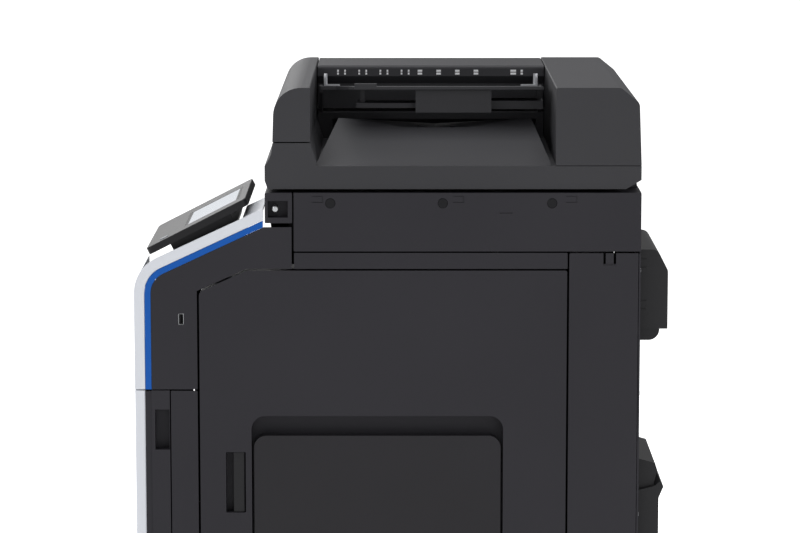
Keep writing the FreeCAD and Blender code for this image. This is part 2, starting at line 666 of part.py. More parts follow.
def exhaust_box():
    """Exhaust duct box on the rear cover, rounded at its top and open downwards through a quarter duct."""
    x = (40.0, 285.0)
    outer = [(BACK, 820), (DEPTH, 820), (DEPTH, 918, 14), (866, 953, 14), (BACK, 953)]
    inner = [(BACK - 1, 823), (DEPTH - 3, 823), (DEPTH - 3, 917, 11), (864, 950, 11), (BACK - 1, 950)]
    shell = cut(slab("yz", outer, *x), slab("yz", inner, x[0] + 3, x[1] - 3))
    duct = slab("yz", [(BACK, 820), (BACK + 34, 820), (BACK + 34, 800, 18), (BACK, 800)], x[0] + 6, x[1] - 6)
    bore = slab("yz", [(BACK + 3, 824), (BACK + 31, 824), (BACK + 31, 790), (BACK + 3, 790)], x[0] + 10, x[1] - 10)
    marks = []
    for z in (853.0, 867.0, 937.0, 923.0):
        marks.append(block((x[1] - 1, x[1] + 1), (BACK + 1, BACK + 11), (z, z + 2)))
    return cut(join(shell, duct), bore, *marks)


def rear_lower_duct():
    """Filter housing low on the rear cover with a funnel-shaped lip and a hooked bracket above it."""
    x = (60.0, 280.0)
    body = [(BACK, 300), (873, 300, 6), (873, 532), (881, 551, 1), (877, 562, 2), (866, 552), (BACK, 545)]
    inside = [(BACK + 3, 304), (870, 304), (870, 536), (862, 540), (BACK + 3, 536)]
    hook = [(BACK, 545), (864, 551), (871, 578, 3), (867, 590, 3), (BACK, 598)]
    shell = cut(slab("yz", body, *x), slab("yz", inside, x[0] + 3, x[1] - 3))
    return join(shell, slab("yz", hook, x[0] + 8, x[1] - 8))


def power_inlet():
    """Mains inlet with three flat blades in a recess."""
    body = block((-243, -197), (BACK - 26, BACK + 2), (137, 165))
    recess = block((-236, -204), (BACK - 18, BACK + 3), (141, 161))
    blades = [block((x - 1, x + 1), (BACK - 20, BACK - 4), (z, z + 6)) for x, z in ((-228.0, 146.0), (-220.0, 152.0), (-212.0, 146.0))]
    return join(cut(body, recess), *blades)


def power_switch():
    """Main rocker switch in the left cover."""
    return slab("yz", [(700, 120, 2), (724, 120, 2), (724, 156, 2), (700, 156, 2)], -SIDE + 1, -INNER + 6)


# ---------------------------------------------------------------- side doors and bypass tray

RECESS_Y, RECESS_Z = (193.0, 611.0), (338.0, 677.0)
BYPASS_Y, BYPASS_Z = (197.0, 607.0), (344.0, 643.0)
RECESS_BOTTOM_X = 280.0
HANDLE_Y, HANDLE_Z = (150.0, 183.0), (513.0, 616.0)
DOOR_INNER_X = 284.0


def door_shell(corners, inner_corners, inner_x):
    """Open-backed moulded door: outer skin with a flange all round."""
    outer = slab("yz", corners, inner_x, SIDE)
    return cut(outer, slab("yz", inner_corners, inner_x - 1, SIDE - 3.5))


def arched(a, b, top, wall):
    """Rectangle corners grown by a wall, with large radii at the top and small ones at the bottom."""
    low, high = (a[0] - wall, b[0] - wall), (a[1] + wall, b[1] + wall)
    small, large = 3 + wall, top + wall
    return [(low[0], low[1], small), (high[0], low[1], small), (high[0], high[1], large), (low[0], high[1], large)]


def side_door():
    """Right side door with a chamfered top corner, the bypass recess and the handle recess."""
    y0, y1 = SIDE_DOOR_FRONT + 1.5, SIDE_DOOR_BACK - 1.5
    corners = [(y0, 332, 5), (y1, 332, 5), (y1, 921, 3), (186, 921, 6), (y0, 885, 10)]
    inner = [(y0 + 3, 335), (y1 - 3, 335), (y1 - 3, 918), (187, 918), (y0 + 3, 883)]
    shell = door_shell(corners, inner, DOOR_INNER_X)
    pocket = slab("yz", arched(RECESS_Y, RECESS_Z, 23, 3), RECESS_BOTTOM_X - 3, SIDE)
    cup = slab("yz", frame_corners((HANDLE_Y[0] - 3, HANDLE_Y[1] + 3), (HANDLE_Z[0] - 3, HANDLE_Z[1] + 3), 4), DOOR_INNER_X, SIDE)
    recess = slab("yz", arched(RECESS_Y, RECESS_Z, 23, 0), RECESS_BOTTOM_X, SIDE + 1)
    handle = slab("yz", frame_corners(HANDLE_Y, HANDLE_Z, 2), DOOR_INNER_X + 3, SIDE + 1)
    feed = block((RECESS_BOTTOM_X - 5, RECESS_BOTTOM_X + 1), (232, 572), (362, 384))
    return cut(join(shell, pocket, cup), recess, handle, feed)


def side_door_handle():
    """Latch lever in the door's handle recess, pivoted on its rear edge."""
    z = (HANDLE_Z[0] + 1, HANDLE_Z[1] - 1)
    lever = block((SIDE - 7, SIDE - 3), (163, 179), z)
    lip = block((SIDE - 14, SIDE - 7), (163, 166), z)
    return join(lever, lip, rod("z", (SIDE - 6.5, 178.5), 3.5, *z))


BYPASS_HINGE_X, BYPASS_HINGE_Z = 296.0, 353.0


def bypass_tray():
    """Folded bypass tray: rounded panel with a rim, paper fences on its inner face and end pins."""
    panel = slab("yz", arched(BYPASS_Y, BYPASS_Z, 20, 0), 292, SIDE - 2)
    hollow = slab("yz", frame_corners((BYPASS_Y[0] + 4, BYPASS_Y[1] - 4), (BYPASS_Z[0] + 22, BYPASS_Z[1] - 4), 16), 291, SIDE - 5)
    bed = block((296, 299), (BYPASS_Y[0] + 4, BYPASS_Y[1] - 4), (BYPASS_Z[0] + 22, BYPASS_Z[1] - 40))
    fences = [block((286, 296), (y, y + 4), (400, 520)) for y in (240.0, 560.0)]
    return join(cut(panel, hollow), bed, *fences)


def lower_side_door():
    """Lower right door in front of the drawers' paper path, with a finger recess."""
    y0, y1 = SIDE_DOOR_FRONT + 1.5, SIDE_DOOR_BACK - 1.5
    z0, z1 = COVER_LOW, 328.0
    shell = door_shell(frame_corners((y0, y1), (z0, z1), 5), frame_corners((y0 + 3, y1 - 3), (z0 + 3, z1 - 3), 2), 297.5)
    cup = block((297.5, SIDE), (150, 186), (220, 300))
    return cut(join(shell, cup), block((300.5, SIDE + 1), (153, 183), (223, 297)))


# ---------------------------------------------------------------- front door and drawers

def front_door():
    """White outer panel of the front door."""
    outer = slab("xy", frame_corners((-SIDE, SIDE), (0, 17), 3), DOOR_LOW, DOOR_HIGH)
    return cut(outer, block((-SIDE + 4, SIDE - 4), (4, 18), (DOOR_LOW + 4, DOOR_HIGH - 4)))


GRIP_Y, GRIP_Z = (33.0, 57.0), (620.0, 688.0)


def front_door_frame():
    """Dark inner frame of the front door, with the finger grip in its right edge."""
    seal = block((-SIDE + 2, SIDE - 2), (17, 27), (DOOR_LOW + 1.5, DOOR_HIGH - 1.5))
    seal = cut(seal, block((-SIDE + 8, SIDE - 8), (16, 28), (DOOR_LOW + 8, DOOR_HIGH - 8)))
    frame = block((-SIDE, SIDE), (27, DOOR_BACK), (DOOR_LOW, DOOR_HIGH))
    hollow = block((-SIDE + 14, SIDE - 26), (31, DOOR_BACK + 1), (DOOR_LOW + 14, DOOR_HIGH - 10))
    grip = block((SIDE - 20, SIDE + 1), GRIP_Y, GRIP_Z)
    return cut(join(seal, frame), hollow, grip)


def drawer(low, high):
    """Paper drawer: white-fronted panel with a grip recess, open tray, lift plate and size fences."""
    face = slab("xy", frame_corners((-SIDE, SIDE), (0, DOOR_BACK), 3), low, high)
    grip = slab("xz", frame_corners((-90, 90), (high - 42, high - 12), 8), -1, 26)
    back = block((-SIDE + 12, SIDE - 12), (34, DOOR_BACK + 1), (low + 8, high - 8))
    face = cut(face, grip, back)
    y = (34.0, 540.0)
    bottom = max(low + 6, BASE_HIGH + 8)
    top = high - 14
    tray = block((-262, 262), y, (bottom, top))
    hollow = block((-259, 259), (y[0] + 3, y[1] - 3), (bottom + 3, top + 1))
    plate = block((-225, 215), (150, 470), (bottom + 3, bottom + 6))
    fences = [block((-200, 200), (edge, edge + 3), (bottom + 3, top - 6)) for edge in (140.0, 477.0)]
    stop = block((-238, -235), (240, 380), (bottom + 3, top - 6))
    return join(face, cut(tray, hollow), plate, stop, *fences)


# ---------------------------------------------------------------- document feeder

FEED_FLOOR = 1140.0
COVER_HINGE_X, COVER_HINGE_Z = -294.0, 1158.0
ROLLER_X, ROLLER_Z = -165.0, 1172.0
TRAY_HINGE_X, TRAY_HINGE_Z = -112.0, 1184.0
STOPPER_X, STOPPER_Z = 106.0, 1132.0


def feeder_base():
    """Lid of the scanner with the feed unit's floor, the ridged exit tray and the hinge pins."""
    x = (-FEEDER_SIDE, FEEDER_SIDE)
    section = [(222, LID_LOW, 3), (812, LID_LOW), (BACK, 1071), (BACK, LID_HIGH), (217, LID_HIGH), (217, 1070)]
    lid = slab("yz", section, *x)
    pad = block((-286, 240), (288, 632), (LID_LOW - 1, LID_LOW + 7))
    cavity = block((-280, 280), (300, 680), (LID_LOW + 10, LID_HIGH - 3))
    foot = slab("yz", [(217, LID_HIGH), (304, LID_HIGH), (ARCH_BACK, 1132), (ARCH_FRONT, 1132, 2), (228, 1112, 30)], *x)
    notches = []
    pins = []
    for x_mid in LUG_X:
        notches.append(block((x_mid - 12, x_mid + 12), (LID_HINGE_Y - 12, BACK + 1), (LID_LOW - 1, LID_HINGE_Z + 12)))
        notches.append(block((x_mid - 12, x_mid + 12), (LID_HINGE_Y - 14, LID_HINGE_Y + 12), (LID_LOW - 1, LID_HINGE_Z + 10)))
        pins.append(rod("x", (LID_HINGE_Y, LID_HINGE_Z), 4.0, x_mid - 16, x_mid + 16))
        for edge in (x_mid - 16, x_mid + 12):
            pins.append(block((edge, edge + 4), (LID_HINGE_Y - 6, LID_HINGE_Y + 5), (LID_HINGE_Z, 1072)))
    feed = block((-FEEDER_SIDE, FEED_RIGHT), (294, 694), (LID_HIGH, FEED_FLOOR))
    mouth = block((FEED_RIGHT - 50, FEED_RIGHT + 1), (320, 680), (1112, 1128))
    ridge, right = 95.0, FEEDER_SIDE - 8
    left_bed = [(FEED_RIGHT, LID_HIGH), (FEED_RIGHT, 1106), (ridge, 1152), (right, LID_HIGH)]
    hump = slab("xz", left_bed, 302, 688)
    taper_front = slab("xy", [(ridge, 302), (right + 1, 301), (FEED_RIGHT - 1, 301), (FEED_RIGHT - 1, 335), (ridge, 335)], LID_HIGH, 1160)
    taper_back = slab("xy", [(ridge, 688), (right + 1, 689), (FEED_RIGHT - 1, 689), (FEED_RIGHT - 1, 663), (ridge, 663)], LID_HIGH, 1160)
    wedge_front = slab("xy", [(ridge - 1, 300), (right + 2, 300), (ridge - 1, 335)], LID_HIGH, 1160)
    wedge_back = slab("xy", [(ridge - 1, 690), (right + 2, 690), (ridge - 1, 663)], LID_HIGH, 1160)
    valley = slab("yz", [(336, 1153), (499, 1134), (662, 1153), (662, 1170), (336, 1170)], FEED_RIGHT - 1, ridge + 40)
    hump = cut(hump, taper_front, taper_back, wedge_front, wedge_back, valley)
    under = slab("xz", [(FEED_RIGHT + 4, LID_HIGH + 1), (FEED_RIGHT + 4, 1100), (ridge, 1126), (right - 60, LID_HIGH + 1)], 342, 656)
    hump = cut(hump, under, block((70, 112), (470, 528), (1118, 1160)))
    supports = []
    bores = [rod("y", (COVER_HINGE_X, COVER_HINGE_Z), 3.0 + FIT, 290, 700)]
    for edge in (300.0, 682.0):
        supports.append(block((COVER_HINGE_X - 5, COVER_HINGE_X + 5), (edge, edge + 6), (FEED_FLOOR, COVER_HINGE_Z)))
        supports.append(rod("y", (COVER_HINGE_X, COVER_HINGE_Z), 5.0, edge, edge + 6))
    for edge in (400.0, 584.0):
        supports.append(block((ROLLER_X - 7, ROLLER_X + 7), (edge, edge + 6), (FEED_FLOOR, ROLLER_Z + 8)))
    bores.append(rod("y", (ROLLER_X, ROLLER_Z), 4.0 + FIT, 390, 600))
    for edge in (298.0, 684.0):
        arm = [(FEED_RIGHT - 14, FEED_FLOOR), (FEED_RIGHT, FEED_FLOOR), (TRAY_HINGE_X + 6, 1176), (TRAY_HINGE_X + 6, 1190, 4), (TRAY_HINGE_X - 6, 1190, 4)]
        supports.append(slab("xz", arm, edge, edge + 5))
    bores.append(rod("y", (TRAY_HINGE_X, TRAY_HINGE_Z), 3.0 + FIT, 296, 692))
    stopper_pin = rod("y", (STOPPER_X, STOPPER_Z), 2.5, 466, 532)
    body = cut(join(cut(lid, pad, cavity, *notches), foot, cut(feed, mouth), hump, *supports), *bores)
    body = cut(body, block((92, 126), (470, 528), (1115, 1150)))
    return join(body, stopper_pin, *pins)


def feeder_front_arch():
    """Hollow front wall of the feeder with its large rounded front edge."""
    outer = [(ARCH_FRONT, 1134), (233, HEIGHT, 46), (ARCH_BACK, HEIGHT, 2), (ARCH_BACK, 1134)]
    inner = [(ARCH_FRONT + 3, 1130), (236, HEIGHT - 3, 43), (ARCH_BACK - 3, HEIGHT - 3), (ARCH_BACK - 3, 1130)]
    return cut(slab("yz", outer, -FEEDER_SIDE, FEEDER_SIDE), slab("yz", inner, -FEEDER_SIDE + 3, FEEDER_SIDE - 3))


def feeder_rear_block():
    """Hollow rear housing of the feeder that holds its drive."""
    outer = [(BLOCK_FRONT, LID_HIGH + 1), (BLOCK_FRONT, HEIGHT, 2), (802, HEIGHT, 10), (833, 1198, 14), (BACK, LID_HIGH + 1)]
    inner = [(BLOCK_FRONT + 3, 1090), (BLOCK_FRONT + 3, HEIGHT - 3), (801, HEIGHT - 3, 7), (830, 1197, 11), (BACK - 3, 1090)]
    return cut(slab("yz", outer, -FEEDER_SIDE, FEEDER_SIDE), slab("yz", inner, -FEEDER_SIDE + 3, FEEDER_SIDE - 3))


def feeder_cover():
    """Jam-access cover over the feed rollers, hinged along the left side."""
    y = (294.0, 694.0)
    outer = [(-FEEDER_SIDE, 1146, 4), (-FEEDER_SIDE, HEIGHT, 16), (FEED_RIGHT, HEIGHT, 6), (FEED_RIGHT, 1204), (-140, 1190), (-140, 1146)]
    inner = [(-FEEDER_SIDE + 3, 1140), (-FEEDER_SIDE + 3, HEIGHT - 3, 13), (FEED_RIGHT - 3, HEIGHT - 3, 3), (FEED_RIGHT - 3, 1206), (-143, 1192), (-143, 1140)]
    shell = cut(slab("xz", outer, *y), slab("xz", inner, y[0] + 3, y[1] - 3))
    pins = [rod("y", (COVER_HINGE_X, COVER_HINGE_Z), 3.0, y[0] + 1, 308), rod("y", (COVER_HINGE_X, COVER_HINGE_Z), 3.0, 680, y[1] - 1)]
    notches = [block((-FEEDER_SIDE - 1, -284), (edge, edge + 10), (1140, 1166)) for edge in (298.0, 680.0)]
    return join(cut(shell, *notches), *pins)


def feeder_roller():
    """Pick-up shaft with two rubber rolls."""
    shaft = rod("y", (ROLLER_X, ROLLER_Z), 4.0, 396, 594)
    rolls = [rod("y", (ROLLER_X, ROLLER_Z), 15.0, start, start + 34) for start in (440, 516)]
    return join(shaft, *rolls)


TRAY_TILT = math.tan(math.radians(5.0))


def tray_z(x, above=0.0):
    """Height of the input tray's upper face at x."""
    return TRAY_HINGE_Z + 4 + (x - TRAY_HINGE_X) * TRAY_TILT + above


def input_tray():
    """Document input tray on a cross shaft, with a raised front corner, a centre block and two wings."""
    left, right = TRAY_HINGE_X - 4, 150.0
    plate = slab("xz", [(left, tray_z(left, -7)), (right, tray_z(right, -5)), (right, tray_z(right)), (left, tray_z(left))], 304, 682)
    notch = slab("xy", [(20, 303), (right + 1, 303), (right + 1, 362), (90, 352), (20, 330)], 1100, 1250)
    lip = slab("xz", [(120, tray_z(120)), (right, tray_z(right)), (right, tray_z(right, 6), 2)], 363, 400)
    blade = slab("xz", [(60, tray_z(60, -6)), (140, tray_z(140, -6)), (140, 1166), (60, 1164)], 466, 594)
    wings = []
    wings.append(slab("xz", [(70, 1180), (120, 1180), (120, 1172), (70, 1170)], 366, 466))
    wings.append(slab("xz", [(70, 1184), (120, 1184), (120, 1170), (70, 1168)], 594, 682))
    posts = [block((84, 96), (372, 380), (1178, 1202)), block((84, 96), (672, 680), (1180, 1202))]
    shaft = rod("y", (TRAY_HINGE_X, TRAY_HINGE_Z), 3.0, 298, 690)
    slots = [slab("xz", [(-90, tray_z(-90, -9)), (-40, tray_z(-40, -9)), (-40, tray_z(-40, 2)), (-90, tray_z(-90, 2))], 344, 642)]
    return join(cut(plate, notch, *slots), lip, blade, shaft, *wings, *posts)


def paper_guide(edge, inward):
    """Upright paper guide on the input tray with a foot towards the centre and a rolled top edge."""
    left, right = -96.0, -6.0
    wall = slab("xz", [(left, tray_z(left, 0.4)), (right, tray_z(right, 0.4)), (right, tray_z(right, 22), 8), (left, tray_z(left, 22), 8)], min(edge, edge + 4 * inward), max(edge, edge + 4 * inward))
    foot = slab("xz", [(left, tray_z(left, 0.4)), (right, tray_z(right, 0.4)), (right, tray_z(right, 3)), (left, tray_z(left, 3))], min(edge, edge + 26 * inward), max(edge, edge + 26 * inward))
    return join(wall, foot)


def exit_stopper():
    """Small sheet stopper that lies on the exit tray's ramp and flips up on a pin."""
    hub = rod("y", (STOPPER_X, STOPPER_Z), 5.0, 474, 524)
    tab = slab("xz", [(106, 1137), (110, 1137), (122, 1131), (122, 1127), (106, 1127)], 476, 522)
    return cut(join(hub, tab), rod("y", (STOPPER_X, STOPPER_Z), 2.5 + FIT, 470, 530))


def platen_pad():
    """White pressing pad under the lid."""
    return block((-284, 238), (290, 630), (SCANNER_HIGH + 0.6, LID_LOW + 7))


# ---------------------------------------------------------------- save the pieces

PIECES = {
    "base_frame": base_frame,
    "front_plate": front_plate,
    "rear_plate": rear_plate,
    "laser_unit": laser_unit,
    "drum_units": drum_units,
    "transfer_unit": transfer_unit,
    "toner_bottles": toner_bottles,
    "fuser_unit": fuser_unit,
    "electrical_box": electrical_box,
    "exit_roller": exit_roller,
    "left_cover": left_cover,
    "rear_cover": rear_cover,
    "rear_column_cover": rear_column_cover,
    "column_cover": column_cover,
    "lower_column_cover": lower_column_cover,
    "upper_side_strip": upper_side_strip,
    "tower_front_cover": tower_front_cover,
    "accent_band": accent_band,
    "front_upper_cover": front_upper_cover,
    "output_tray": output_tray,
    "bay_wall": bay_wall,
    "panel_bracket": panel_bracket,
    "panel_housing": panel_housing,
    "panel_screen": panel_screen,
    "panel_key": panel_key,
    "scanner_case": scanner_case,
    "scanner_side_cover": scanner_side_cover,
    "scanner_front_cover": scanner_front_cover,
    "platen_glass": platen_glass,
    "lamp_carriage": lamp_carriage,
    "mirror_carriage": mirror_carriage,
    "exhaust_box": exhaust_box,
    "rear_lower_duct": rear_lower_duct,
    "power_inlet": power_inlet,
    "power_switch": power_switch,
    "side_door": side_door,
    "side_door_handle": side_door_handle,
    "bypass_tray": bypass_tray,
    "lower_side_door": lower_side_door,
    "front_door": front_door,
    "front_door_frame": front_door_frame,
    "feeder_base": feeder_base,
    "feeder_front_arch": feeder_front_arch,
    "feeder_rear_block": feeder_rear_block,
    "feeder_cover": feeder_cover,
    "feeder_roller": feeder_roller,
    "input_tray": input_tray,
    "exit_stopper": exit_stopper,
    "platen_pad": platen_pad,
}

os.makedirs("parts", exist_ok=True)
for name, build in PIECES.items():
    write(name, build())
write("guide_front", paper_guide(308.0, 1))
write("guide_rear", paper_guide(678.0, -1))
for number, heights in enumerate(DRAWER_FRONTS):
    write("drawer_" + str(number + 1), drawer(*heights))
for side, x in (("left", -CASTER_X), ("right", CASTER_X)):
    write("caster_fork_" + side, swivel_fork(x))
    for end, y in (("front", CASTER_FRONT_Y), ("rear", CASTER_REAR_Y)):
        write("caster_wheel_" + end + "_" + side, caster_wheel(x, y))
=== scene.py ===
import bpy
import math
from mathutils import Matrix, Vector


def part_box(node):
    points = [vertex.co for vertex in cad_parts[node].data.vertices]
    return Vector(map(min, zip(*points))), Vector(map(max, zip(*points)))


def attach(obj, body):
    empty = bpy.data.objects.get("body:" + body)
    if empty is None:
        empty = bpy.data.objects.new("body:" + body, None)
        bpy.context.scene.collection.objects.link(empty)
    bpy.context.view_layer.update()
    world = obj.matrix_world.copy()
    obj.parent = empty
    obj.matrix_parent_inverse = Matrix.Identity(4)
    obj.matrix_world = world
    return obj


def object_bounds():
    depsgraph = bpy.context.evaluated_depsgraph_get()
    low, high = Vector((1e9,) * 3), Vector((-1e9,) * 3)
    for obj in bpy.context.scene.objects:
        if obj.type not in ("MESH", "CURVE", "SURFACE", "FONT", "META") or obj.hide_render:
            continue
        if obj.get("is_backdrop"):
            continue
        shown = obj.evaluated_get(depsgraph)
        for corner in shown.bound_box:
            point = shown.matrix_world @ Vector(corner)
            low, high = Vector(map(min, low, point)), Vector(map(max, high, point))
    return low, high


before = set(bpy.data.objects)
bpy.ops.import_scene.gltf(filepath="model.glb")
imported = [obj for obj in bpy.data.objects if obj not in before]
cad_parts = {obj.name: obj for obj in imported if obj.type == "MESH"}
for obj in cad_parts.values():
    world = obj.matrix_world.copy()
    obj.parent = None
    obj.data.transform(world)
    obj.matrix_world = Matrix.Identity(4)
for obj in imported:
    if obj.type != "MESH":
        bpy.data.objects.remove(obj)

cad_low, cad_high = (list(corner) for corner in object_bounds())

# ---- Studio: pale floor, soft lamps and the camera
# The camera looks square at the right side from a little above, with a long lens. The floor and the world show
# plain white to the camera and give less light than that to the object.

scene = bpy.context.scene
camera_distance, camera_pitch = 5.358, math.radians(8.43)
camera_aim = Vector((cad_high[0], -0.0023, 0.928))
camera_data = bpy.data.cameras.new("camera")
camera_data.lens = 146.2
camera_data.sensor_width = 36.0
camera_data.clip_end = 100.0
camera = bpy.data.objects.new("camera", camera_data)
camera.location = camera_aim + Vector((math.cos(camera_pitch), 0, math.sin(camera_pitch))) * camera_distance
camera.rotation_euler = (camera_aim - camera.location).to_track_quat("-Z", "Y").to_euler()
scene.collection.objects.link(camera)
scene.camera = camera


def add_lamp(name, place, aim, size, power):
    """A soft square studio lamp turned to its aim; the power is in watts."""
    data = bpy.data.lights.new(name, "AREA")
    data.shape = "SQUARE"
    data.size = size
    data.energy = power
    lamp = bpy.data.objects.new(name, data)
    lamp.location = place
    lamp.rotation_euler = (Vector(aim) - Vector(place)).to_track_quat("-Z", "Y").to_euler()
    scene.collection.objects.link(lamp)


add_lamp("key_lamp", (2.4, -3.4, 3.2), (0, 0, 0.8), 2.4, 50)
add_lamp("side_lamp", (4.2, 1.6, 1.6), (0, 0, 0.8), 2.6, 20)
add_lamp("top_lamp", (0, 0, 4.4), (0, 0, 0), 3.0, 84)
add_lamp("left_lamp", (-3.6, -1.6, 2.6), (0, 0, 0.7), 2.6, 40)
add_lamp("back_lamp", (-0.5, 3.8, 2.8), (0, 0, 0.8), 2.6, 40)


def add_node(tree, kind, settings=None, links=None):
    """A node with its settings; each link is {input: (node, output)}, or {input: plain value}."""
    node = tree.nodes.new(kind)
    for key, value in (settings or {}).items():
        setattr(node, key, value)
    for key, value in (links or {}).items():
        if isinstance(value, tuple) and hasattr(value[0], "outputs"):
            tree.links.new(value[0].outputs[value[1]], node.inputs[key])
        else:
            node.inputs[key].default_value = value
    return node


def add_mesh(name, corners, faces):
    """A plain mesh object from points and faces."""
    mesh = bpy.data.meshes.new(name)
    mesh.from_pydata(corners, [], faces)
    piece = bpy.data.objects.new(name, mesh)
    scene.collection.objects.link(piece)
    return piece


world_light, floor_light = 0.34, 0.3
world = bpy.data.worlds.new("studio")
world.use_nodes = True
tree = world.node_tree
background = tree.nodes["Background"]
background.inputs["Color"].default_value = (1, 1, 1, 1)
ray = add_node(tree, "ShaderNodeLightPath")
level = add_node(
    tree, "ShaderNodeMapRange", None,
    {"Value": (ray, "Is Camera Ray"), "To Min": world_light, "To Max": 1.0},
)
tree.links.new(level.outputs["Result"], background.inputs["Strength"])
scene.world = world
scene.view_settings.view_transform = "Standard"

reach = 30.0
floor = add_mesh(
    "floor",
    [(-reach, -reach, 0), (reach, -reach, 0), (reach, reach, 0), (-reach, reach, 0)],
    [(0, 1, 2, 3)],
)
floor_paper = bpy.data.materials.new("white_paper_floor")
floor_paper.use_nodes = True
tree = floor_paper.node_tree
shader = tree.nodes["Principled BSDF"]
shader.inputs["Base Color"].default_value = (0.9, 0.9, 0.9, 1)
shader.inputs["Roughness"].default_value = 0.9
shader.inputs["Emission Color"].default_value = (1, 1, 1, 1)
ray = add_node(tree, "ShaderNodeLightPath")
glow = add_node(
    tree, "ShaderNodeMapRange", None,
    {"Value": (ray, "Is Camera Ray"), "To Min": floor_light, "To Max": 1.0},
)
tree.links.new(glow.outputs["Result"], shader.inputs["Emission Strength"])
floor.data.materials.append(floor_paper)
floor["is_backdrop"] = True


# ---- Base frame and frame plates
# Welded box-section steel with four posts and two folded side plates, zinc plated and screwed together. The
# frame stands on the casters and carries every cover. Zinc plating shows a faint spangle and rolling marks.

def linear(hex_colour):
    """sRGB hex to a linear RGBA colour."""
    parts = [int(hex_colour[i:i + 2], 16) / 255 for i in (1, 3, 5)]
    return [p / 12.92 if p <= 0.04045 else ((p + 0.055) / 1.055) ** 2.4 for p in parts] + [1.0]


def new_material(name):
    """An empty node material, its tree, its shader and its coordinates node."""
    material = bpy.data.materials.new(name)
    material.use_nodes = True
    tree = material.node_tree
    return material, tree, tree.nodes["Principled BSDF"], add_node(tree, "ShaderNodeTexCoord")


def dress(material, *nodes):
    """Give CAD nodes one material."""
    for node in nodes:
        piece = bpy.data.objects[node]
        for slot in piece.material_slots:
            slot.material = material
        if not piece.material_slots:
            piece.data.materials.append(material)


def plated(name, colour, lighter):
    """Zinc plated steel sheet, with crystals of about 5.6 mm and marks about 1 mm apart in height."""
    crystals_per_metre, marks_per_metre = 180.0, (40, 40, 900)
    material, tree, shader, place = new_material(name)
    spangle = add_node(
        tree, "ShaderNodeTexVoronoi", None,
        {"Vector": (place, "Object"), "Scale": crystals_per_metre},
    )
    ramp = add_node(tree, "ShaderNodeValToRGB", None, {"Fac": (spangle, "Distance")})
    ramp.color_ramp.elements[0].color = linear(colour)
    ramp.color_ramp.elements[1].color = linear(lighter)
    tree.links.new(ramp.outputs["Color"], shader.inputs["Base Color"])
    stretch = add_node(
        tree, "ShaderNodeMapping", None,
        {"Vector": (place, "Object"), "Scale": marks_per_metre},
    )
    marks = add_node(tree, "ShaderNodeTexNoise", None, {"Vector": (stretch, "Vector"), "Scale": 1.0})
    sheen = add_node(
        tree, "ShaderNodeMapRange", None,
        {"Value": (marks, "Fac"), "To Min": 0.3, "To Max": 0.44},
    )
    tree.links.new(sheen.outputs["Result"], shader.inputs["Roughness"])
    shader.inputs["Metallic"].default_value = 1.0
    return material


zinc_steel = plated("zinc_plated_steel", "#a9abae", "#bcbec1")
dress(zinc_steel, "base_frame", "front_plate", "rear_plate")


# ---- Laser unit
# Closed moulded writing unit with four sloped exposure windows on its lid, screwed to the frame plates. It is
# matt black ABS, so that no stray light reaches the drums.

def moulded(name, colour, lighter, roughness=0.5, grain_mm=0.9, depth=0.00006):
    """Injection-moulded ABS in two close tones, with a fine spark-eroded grain that breaks the gloss."""
    clouds_per_metre = 3.0
    grains_per_metre = 1000 / grain_mm
    material, tree, shader, place = new_material(name)
    tone = add_node(
        tree, "ShaderNodeTexNoise", None,
        {"Vector": (place, "Object"), "Scale": clouds_per_metre, "Detail": 3.0},
    )
    ramp = add_node(tree, "ShaderNodeValToRGB", None, {"Fac": (tone, "Fac")})
    ramp.color_ramp.elements[0].position = 0.3
    ramp.color_ramp.elements[0].color = linear(colour)
    ramp.color_ramp.elements[1].position = 0.7
    ramp.color_ramp.elements[1].color = linear(lighter)
    tree.links.new(ramp.outputs["Color"], shader.inputs["Base Color"])
    grain = add_node(
        tree, "ShaderNodeTexNoise", None,
        {"Vector": (place, "Object"), "Scale": grains_per_metre, "Detail": 2.0},
    )
    sheen = add_node(
        tree, "ShaderNodeMapRange", None,
        {"Value": (grain, "Fac"), "To Min": roughness - 0.06, "To Max": roughness + 0.08},
    )
    tree.links.new(sheen.outputs["Result"], shader.inputs["Roughness"])
    bump = add_node(
        tree, "ShaderNodeBump", None,
        {"Height": (grain, "Fac"), "Strength": 0.25, "Distance": depth},
    )
    tree.links.new(bump.outputs["Normal"], shader.inputs["Normal"])
    shader.inputs["Specular IOR Level"].default_value = 0.22
    return material


black_abs = moulded("black_abs_inner", "#151518", "#18181b", 0.6)
dress(black_abs, "laser_unit")


# ---- Drum units
# Four identical cartridges: a glossy coated drum between moulded end frames. They slide in from the front, and
# their front grips are blue.

def by_place(name, axis, edges, colours, roughness):
    """Moulding whose colour changes at set places along one axis: one more colour than edges, in metres."""
    grains_per_metre = 1100.0
    material, tree, shader, place = new_material(name)
    split = add_node(tree, "ShaderNodeSeparateXYZ", None, {"Vector": (place, "Object")})
    last = None
    for edge, colour in zip(edges, colours[1:]):
        beyond = add_node(
            tree, "ShaderNodeMath", {"operation": "GREATER_THAN"},
            {0: (split, axis), 1: edge},
        )
        mix = add_node(tree, "ShaderNodeMix", {"data_type": "RGBA"}, {"Factor": (beyond, "Value")})
        if last is None:
            mix.inputs[6].default_value = linear(colours[0])
        else:
            tree.links.new(last.outputs[2], mix.inputs[6])
        mix.inputs[7].default_value = linear(colour)
        last = mix
    tree.links.new(last.outputs[2], shader.inputs["Base Color"])
    grain = add_node(
        tree, "ShaderNodeTexNoise", None,
        {"Vector": (place, "Object"), "Scale": grains_per_metre},
    )
    sheen = add_node(
        tree, "ShaderNodeMapRange", None,
        {"Value": (grain, "Fac"), "To Min": roughness - 0.05, "To Max": roughness + 0.07},
    )
    tree.links.new(sheen.outputs["Result"], shader.inputs["Roughness"])
    return material


